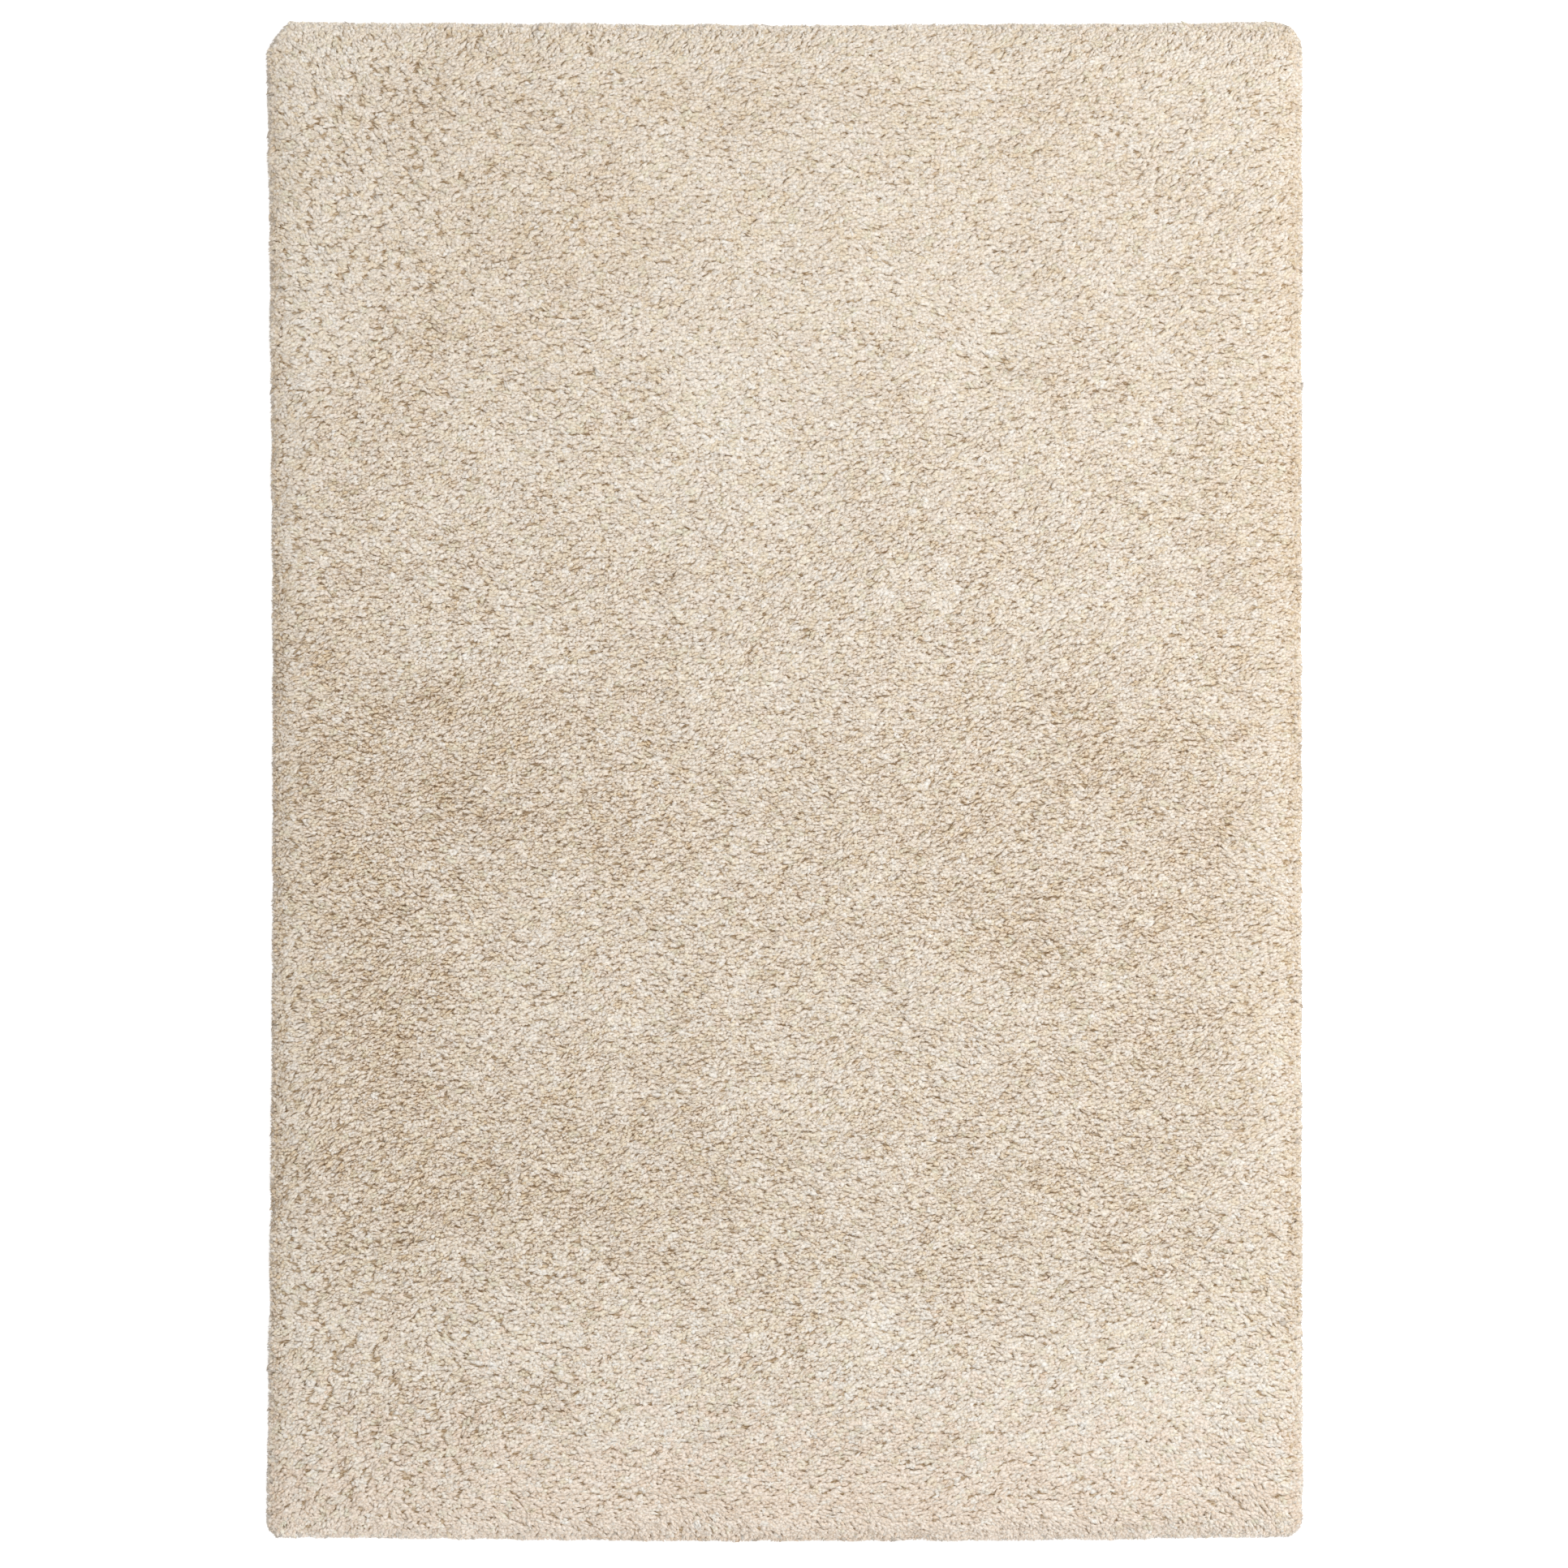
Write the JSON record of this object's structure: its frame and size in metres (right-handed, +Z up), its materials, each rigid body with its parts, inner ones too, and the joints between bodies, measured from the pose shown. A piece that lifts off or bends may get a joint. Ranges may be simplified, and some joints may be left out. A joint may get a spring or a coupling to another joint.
{
  "type": "shag rug",
  "caption": "Rectangular deep-pile shag rug in mottled cream and beige, lying flat, with soft uneven pile, rounded corners and locks of yarn leaning out round its rim.",
  "frame": {"origin": "middle of the underside, at floor level", "axes": "+Z up out of the pile, +Y along the rug's length towards the end that is at the top of the picture, +X across its width"},
  "size_m": [1.33, 1.95, 0.0376],
  "materials": {
    "pile": "matt soft-spun yarn pile, mottled cream, sand and grey-beige"
  },
  "bodies": {
    "root": {"shag_rug": "pile"}
  },
  "joints": []
}
